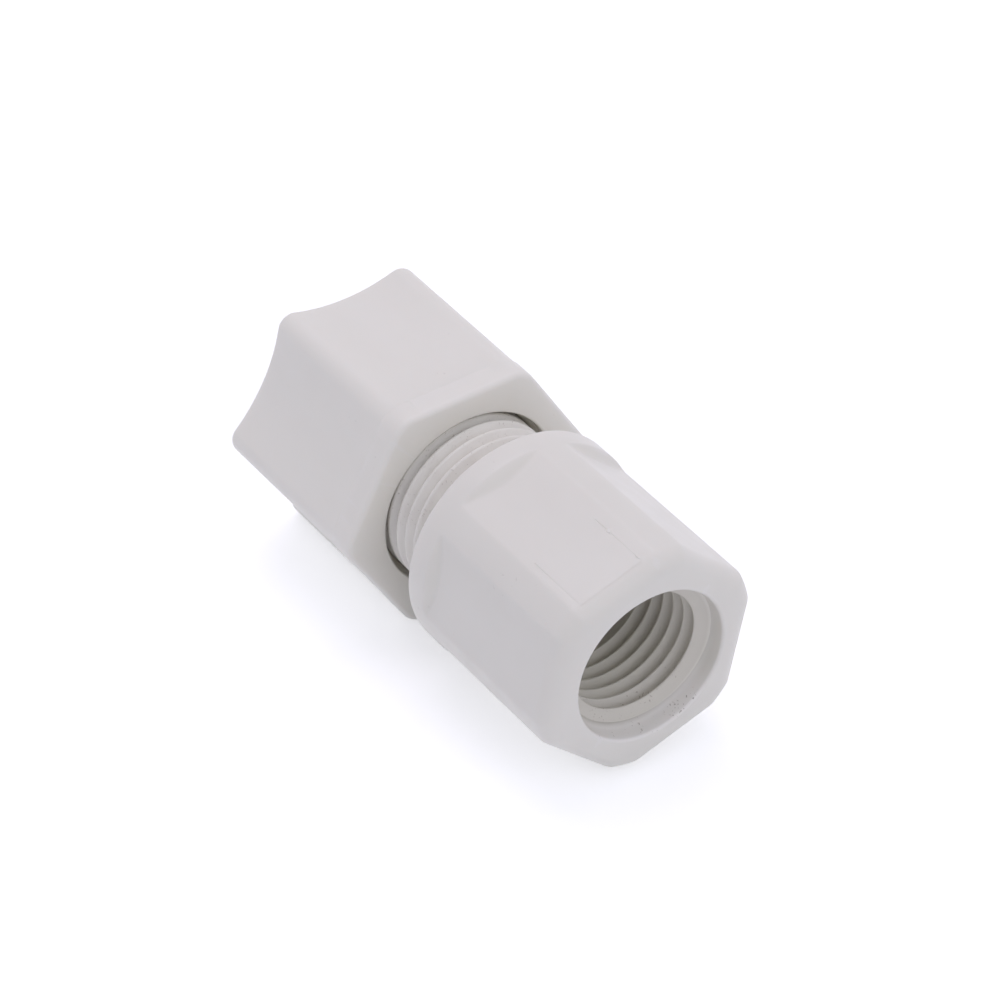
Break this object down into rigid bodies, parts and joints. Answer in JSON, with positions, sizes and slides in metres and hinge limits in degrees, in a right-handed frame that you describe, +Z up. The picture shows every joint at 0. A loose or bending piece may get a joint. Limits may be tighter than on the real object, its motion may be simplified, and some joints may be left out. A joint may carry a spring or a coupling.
{
  "type": "female tube connector",
  "caption": "Moulded compression connector: fluted union nut on a threaded spigot, hexagonal body with a female pipe port.",
  "frame": {"origin": "centre of the female port's mouth, on its end face", "axes": "+X along the connector's axis out of the female port, +Z up with the nut resting on one of its flats"},
  "size_m": [0.0455, 0.0246, 0.0218],
  "materials": {
    "moulded_plastic": "satin",
    "sleeve_plastic": "satin",
    "ring_plastic": "satin"
  },
  "bodies": {
    "body": {"body": "moulded_plastic"},
    "seal_train": {"sleeve": "sleeve_plastic", "grip_ring": "ring_plastic"},
    "nut": {"nut": "moulded_plastic"}
  },
  "joints": [
    {"name": "nut_advance", "type": "slide", "parent": "body", "child": "seal_train", "axis": [1, 0, 0], "range_m": [-0.0067, 0.00255]},
    {"name": "nut_turn", "type": "hinge", "parent": "seal_train", "child": "nut", "pos_m": [-0.0357, 0, 0], "axis": [1, 0, 0], "range_deg": [-1890, 720]}
  ],
  "couplings": [
    {"joint": "nut_advance", "follows": "nut_turn", "m_per_rad": 0.00020213}
  ]
}
